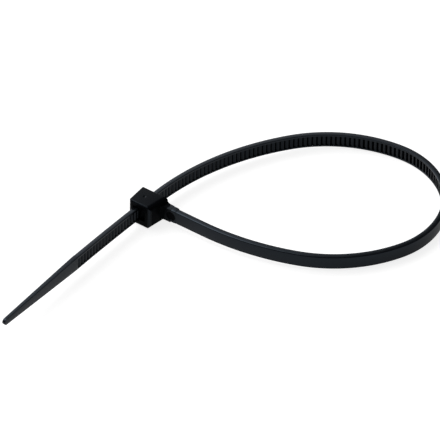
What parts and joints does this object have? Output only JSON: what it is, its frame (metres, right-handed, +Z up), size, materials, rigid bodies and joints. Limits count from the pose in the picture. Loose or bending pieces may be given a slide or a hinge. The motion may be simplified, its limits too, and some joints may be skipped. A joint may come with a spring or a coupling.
{
  "type": "cable tie",
  "caption": "Black nylon cable tie closed in a loose teardrop loop, with a toothed strap, a square locking head with its pawl, and a smooth tapered tail.",
  "frame": {"origin": "on the table, under the middle of the outline seen from above", "axes": "+X to the round end of the loop, +Z up from the table, near enough the axis of the loop"},
  "size_m": [0.1047, 0.0676, 0.0069],
  "materials": {
    "nylon": "satin"
  },
  "bodies": {
    "root": {"cable_tie": "nylon"}
  },
  "joints": []
}
